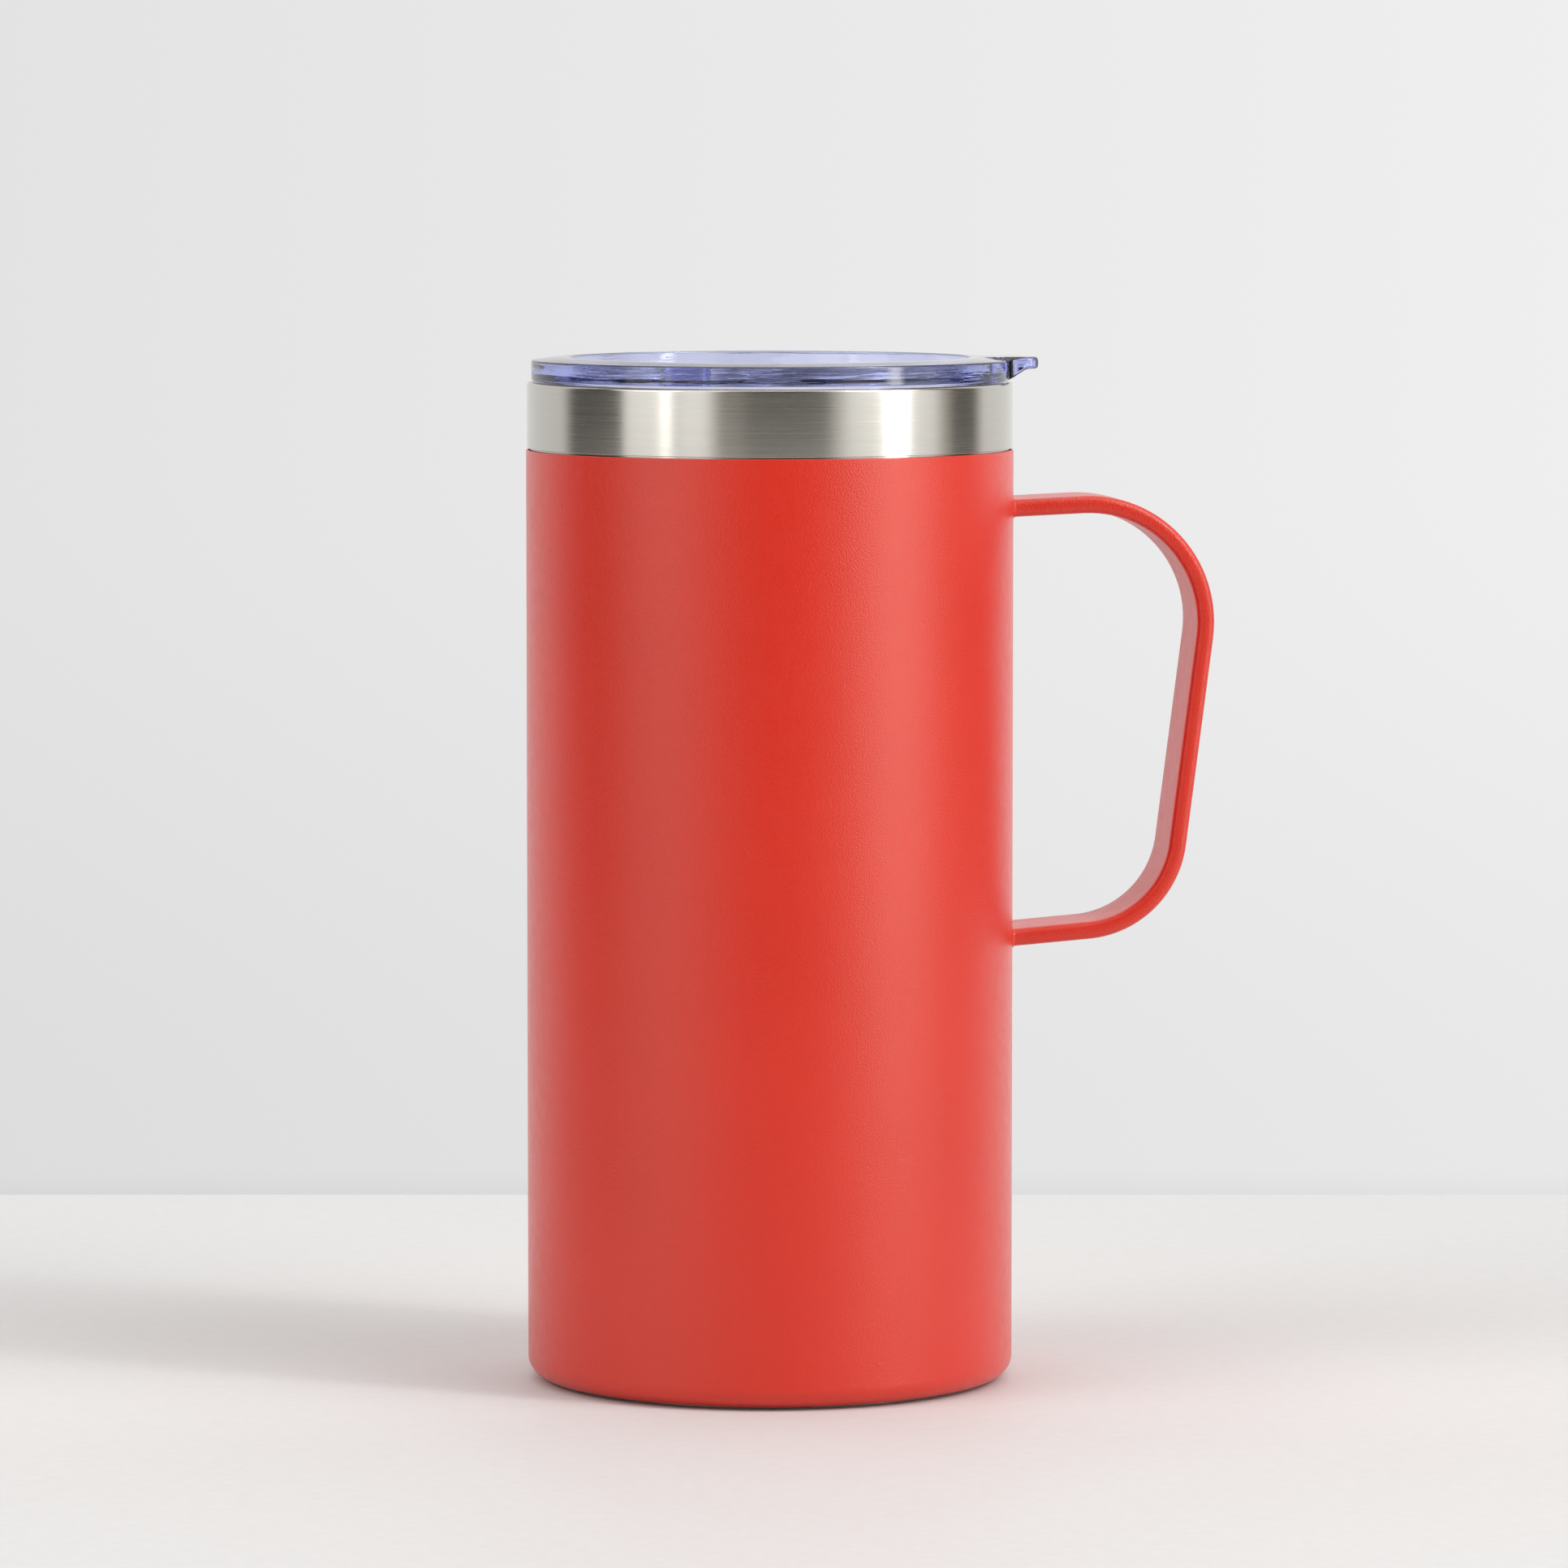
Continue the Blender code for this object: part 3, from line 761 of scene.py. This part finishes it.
def lid_closure():
    """The slider: a plate over the sip slot, a ribbed grip, and a stem that hooks underneath."""
    low = WELL_FLOOR + GAP + LIP
    end = WELL_FOOT - GAP
    corner_x = -math.sqrt(end**2 - SLIDER_HALF**2)
    sweep = math.degrees(math.asin(SLIDER_HALF / end))
    plate_corners = [(2.6, -SLIDER_HALF, 2.0), (2.6, SLIDER_HALF, 2.0)]
    outline = rounded(plate_corners + [(corner_x, SLIDER_HALF), (corner_x, -SLIDER_HALF)])
    outline = outline[:12] + arc((0, 0), end, 180 - sweep, 180 + sweep, 24)
    plate = slab("lid_closure", outline, rounded_edge(low, low + 2.0, 0.25, 0.5))

    under = WELL_FLOOR - LID_FLOOR - GAP + LIP
    grip_corners = [(-11, -9, 2.2), (-11, 9, 2.2), (-19, 9, 2.2), (-19, -9, 2.2)]
    grip_rows = [(-0.9, low + 1.5), (-0.55, low + 2.05), (-0.2, low + 2.7), (0.0, low + 3.4)]
    grip_rows += rounded_edge(low + 3.6, low + 6.2, 0.0, 1.0)[5:]
    grip = slab("grip", rounded(grip_corners, steps=8), grip_rows)
    combine(plate, grip, "UNION")
    for x in (-17.0, -15.0, -13.0):
        rib_corners = [(x + 0.5, -6.5, 0.45), (x + 0.5, 6.5, 0.45)]
        rib_corners += [(x - 0.5, 6.5, 0.45), (x - 0.5, -6.5, 0.45)]
        rib_rows = rounded_edge(low + 5.0, low + 6.6, 0.0, 0.4)[4:]
        combine(plate, slab("rib", rounded(rib_corners), rib_rows), "UNION")
    stem_corners = [(-11.3, -2.2, 0.6), (-11.3, 2.2, 0.6), (-20.3, 2.2, 0.6), (-20.3, -2.2, 0.6)]
    stem = slab("stem", rounded(stem_corners), [(0, under - 0.5), (0, low + 1.0)])
    combine(plate, stem, "UNION")
    foot_corners = [(-11.3, -4.5, 0.8), (-11.3, 4.5, 0.8), (-20.3, 4.5, 0.8), (-20.3, -4.5, 0.8)]
    foot = slab("foot", rounded(foot_corners), rounded_edge(under - 1.5, under, 0.5, 0.2))
    return combine(plate, foot, "UNION")


def gasket_ring():
    """A silicone ring with two fins that taper to a soft edge."""
    fin = reach("lid_gasket")
    inner = GROOVE + GAP
    ring = inner + 0.9
    high, low = GROOVE_TOP - GAP + LIP, GROOVE_BOTTOM + GAP + LIP
    corners = [(inner, high, 0.15), (ring, high, 0.15)]
    for root in (high - 0.4, high - 2.6):
        corners += [(ring, root, 0.15), (fin, root - 0.4, 0.2), (fin, root - 0.9, 0.2)]
        corners += [(ring, root - 1.1, 0.15)]
    corners += [(ring, low, 0.15), (inner, low, 0.15)]
    return turned("gasket_ring", rounded(corners, steps=4))


# ---------------------------------------------------------------- pieces

COATED = powder_coat_finish()
BRUSHED = brushed_finish("brushed_steel_band", (0.615, 0.592, 0.54), 0.24, "round")
LINER_STEEL = brushed_finish("satin_liner_steel", (0.62, 0.61, 0.59), 0.32, "round")
DISC_STEEL = brushed_finish("spun_base_steel", (0.60, 0.59, 0.57), 0.30, "rings")
CLEAR = clear_plastic_finish()

place(steel_shell(), "mug", "outer_wall", "brushed_steel", BRUSHED)
place(coat_skin(), "mug", "powder_coat", "powder_coat", COATED)
place(handle_strap(), "mug", "handle", "coated_steel", COATED)
place(liner_wall(), "mug", "liner_tube", "liner_steel", LINER_STEEL)
place(liner_base(), "mug", "liner_bottom", "liner_steel", LINER_STEEL)
place(foot_disc(), "mug", "base_cover", "base_steel", DISC_STEEL)
place(foil_wrap(), "mug", "radiation_foil", "foil", foil_finish())
place(vacuum_dish(), "mug", "vacuum_base", "base_steel", DISC_STEEL)
place(solder_bead(), "mug", "seal_glass", "solder_glass", solder_glass_finish())
place(getter_cup(), "mug", "getter_holder", "base_steel", DISC_STEEL)
place(getter_disc(), "mug", "getter_pellet", "getter", getter_finish())
place(gasket_ring(), "gasket", "lid_gasket", "silicone", silicone_finish())
place(clear_lid(), "lid", "lid_body", "lid_plastic", CLEAR)
place(lid_closure(), "slider", "lid_slider", "lid_plastic", CLEAR)


# ---------------------------------------------------------------- floor, light and camera

WALL_LEVEL = 0.78
PANELS = [  # (from, to, level), in degrees round the mug: 0 is the camera, 90 its right
    (-180, -116, WALL_LEVEL),
    (-107, -74.3, 0.065),
    (-72.7, -54, 1.15),
    (-51.5, -48.5, 2.7),
    (-46.5, -43.5, 0.85),
    (-41, -30.5, 1.25),
    (-23, -14, 0.24),
    (-9, 26.5, 0.10),
    (39, 57, 1.07),
    (61.3, 64.7, 8.5),
    (68.5, 84, 1.10),
    (92, 93.5, 0.42),
    (98, 113, 0.095),
    (122, 180, 0.88),
]
WARM = (1.0, 0.92, 0.82)  # the tint of the dark gaps between the panels
WARM_BELOW = 0.5
OVERHEAD, UNDERSIDE = 1.5, 0.5
PANELS_TOP = (0.87, 0.96)  # heights on a sphere of radius 1, where one light fades into the next
PANELS_FOOT = (-0.35, -0.1)
# The backdrop that the camera sees has painted light and shade: it brightens from left to right, and
# is darker at its foot.
BACKDROP_LEFT, BACKDROP_RIGHT = 0.77, 0.86
BACKDROP_HALF = 0.095  # half its width, on the same sphere
BACKDROP_SHADE = 0.94  # painted shade at its foot and along its corner with the table


def make_floor():
    """A table top whose far edge runs straight behind the mug."""
    front, back, side = 650.0, 236.0, 650.0
    shape = bmesh.new()
    corners = [(-side, -front), (side, -front), (side, back), (-side, back)]
    shape.faces.new([shape.verts.new((x * MM, y * MM, 0)) for x, y in corners])
    floor = finished("floor", shape)
    floor.rotation_euler.z = math.radians(CAMERA_AZIMUTH)
    finish = Finish("pale_floor", Roughness=0.6, Specular_IOR_Level=0.3)
    grain = finish.noise(330, detail=5.0, roughness=0.6)
    finish.tint(grain, (0.708, 0.703, 0.693), (0.737, 0.732, 0.722))
    finish.bump((grain, 6e-5))
    floor.data.materials.append(finish.material)


def make_world():
    """A studio of soft panels round the mug, with a pale backdrop where the camera looks, painted
    brighter to the right, with painted shade at its foot and a painted shadow line along the table's
    far edge.
    """
    world = bpy.data.worlds.new("studio")
    bpy.context.scene.world = world
    world.use_nodes = True
    nodes, links = world.node_tree.nodes, world.node_tree.links
    background = nodes["Background"]

    def math_node(operation, first, second=0.0):
        """The result of a math node, from two numbers or sockets."""
        node = nodes.new("ShaderNodeMath")
        node.operation = operation
        for socket, value in zip(node.inputs, (first, second)):
            if isinstance(value, (int, float)):
                socket.default_value = value
            else:
                links.new(value, socket)
        return node.outputs[0]

    def ranged(source, source_low, source_high, low, high, smooth=False):
        """Maps a range of a socket's values to another range."""
        node = nodes.new("ShaderNodeMapRange")
        node.interpolation_type = "SMOOTHSTEP" if smooth else "LINEAR"
        values = (source_low, source_high, low, high)
        for name, value in zip(("From Min", "From Max", "To Min", "To Max"), values):
            node.inputs[name].default_value = value
        links.new(source, node.inputs["Value"])
        return node.outputs[0]

    def grey(level):
        return (level, level, level, 1)

    def mixed(factor, first, second):
        """A mix of two colours or sockets."""
        node = nodes.new("ShaderNodeMixRGB")
        links.new(factor, node.inputs["Fac"])
        for socket, value in zip(list(node.inputs)[1:], (first, second)):
            if isinstance(value, tuple):
                socket.default_value = value
            else:
                links.new(value, socket)
        return node.outputs[0]

    coords = nodes.new("ShaderNodeTexCoord")
    turn = nodes.new("ShaderNodeVectorRotate")
    turn.rotation_type = "Z_AXIS"
    turn.inputs["Angle"].default_value = -math.radians(CAMERA_AZIMUTH)
    links.new(coords.outputs["Generated"], turn.inputs["Vector"])
    split = nodes.new("ShaderNodeSeparateXYZ")
    links.new(turn.outputs[0], split.inputs[0])
    x, y, z = split.outputs
    azimuth = math_node("ARCTAN2", x, math_node("MULTIPLY", y, -1.0))

    ramp = nodes.new("ShaderNodeValToRGB")
    links.new(math_node("ADD", math_node("DIVIDE", azimuth, math.tau), 0.5), ramp.inputs["Fac"])
    stops = ramp.color_ramp
    brightest = max(level for _, _, level in PANELS)
    places = [(end, level) for start, stop, level in PANELS for end in (start, stop)]
    while len(stops.elements) < len(places):
        stops.elements.new(0.5)
    for stop, (angle, level) in zip(stops.elements, places):
        stop.position = angle / 360 + 0.5
        tint = WARM if level < WARM_BELOW else (1.0, 1.0, 1.0)
        stop.color = (*[level / brightest * channel for channel in tint], 1)

    rise = ranged(z, *PANELS_TOP, 0.0, 1.0, smooth=True)
    studio = mixed(rise, ramp.outputs["Color"], grey(OVERHEAD / brightest))
    below = ranged(z, *PANELS_FOOT, 1.0, 0.0, smooth=True)
    studio = mixed(below, studio, grey(UNDERSIDE / brightest))

    # Painted light on the backdrop: it brightens from left to right and has painted shade towards its
    # foot.
    left, right = BACKDROP_LEFT / brightest, BACKDROP_RIGHT / brightest
    across = ranged(x, -BACKDROP_HALF, BACKDROP_HALF, left, right)
    painted_foot_shade = ranged(z, -0.135, -0.04, BACKDROP_SHADE, 1.0, smooth=True)
    # A thin painted shadow line where the backdrop meets the table's far edge.
    corner = ranged(z, -0.1325, -0.1285, BACKDROP_SHADE, 1.0, smooth=True)
    backdrop = math_node("MULTIPLY", across, math_node("MULTIPLY", painted_foot_shade, corner))
    path = nodes.new("ShaderNodeLightPath")
    colour = mixed(path.outputs["Is Camera Ray"], studio, backdrop)
    links.new(colour, background.inputs["Color"])
    background.inputs["Strength"].default_value = brightest


def make_light(name, azimuth, energy, height):
    """A large soft light a metre away, at an azimuth from the camera."""
    data = bpy.data.lights.new(name, "AREA")
    data.shape = "DISK"
    data.size = 0.7
    data.energy = energy
    light = bpy.data.objects.new(name, data)
    turn = math.radians(CAMERA_AZIMUTH + azimuth)
    spot = Vector((math.sin(turn), -math.cos(turn), height))
    light.location = spot
    light.rotation_euler = spot.to_track_quat("Z", "Y").to_euler()
    bpy.context.scene.collection.objects.link(light)


def make_camera():
    """A long lens, a little above the mug and to its right."""
    data = bpy.data.cameras.new("camera")
    data.lens = CAMERA_LENS
    data.sensor_width = 36
    data.clip_start = 0.05
    camera = bpy.data.objects.new("camera", data)
    yaw = math.radians(CAMERA_AZIMUTH)
    forward = Vector((-math.sin(yaw), math.cos(yaw), 0))
    right = Vector((math.cos(yaw), math.sin(yaw), 0))
    spot = right * CAMERA_ASIDE - forward * CAMERA_DISTANCE + Vector((0, 0, CAMERA_HEIGHT))
    camera.location = spot * MM
    camera.rotation_euler = Euler((math.radians(90 + CAMERA_PITCH), 0, yaw))
    bpy.context.scene.collection.objects.link(camera)
    bpy.context.scene.camera = camera


make_floor()
make_world()
make_light("key_light", 62, 4.2, 0.9)
make_light("fill_light", -68, 2.3, 0.85)
make_camera()
bpy.context.scene.view_settings.view_transform = "Standard"
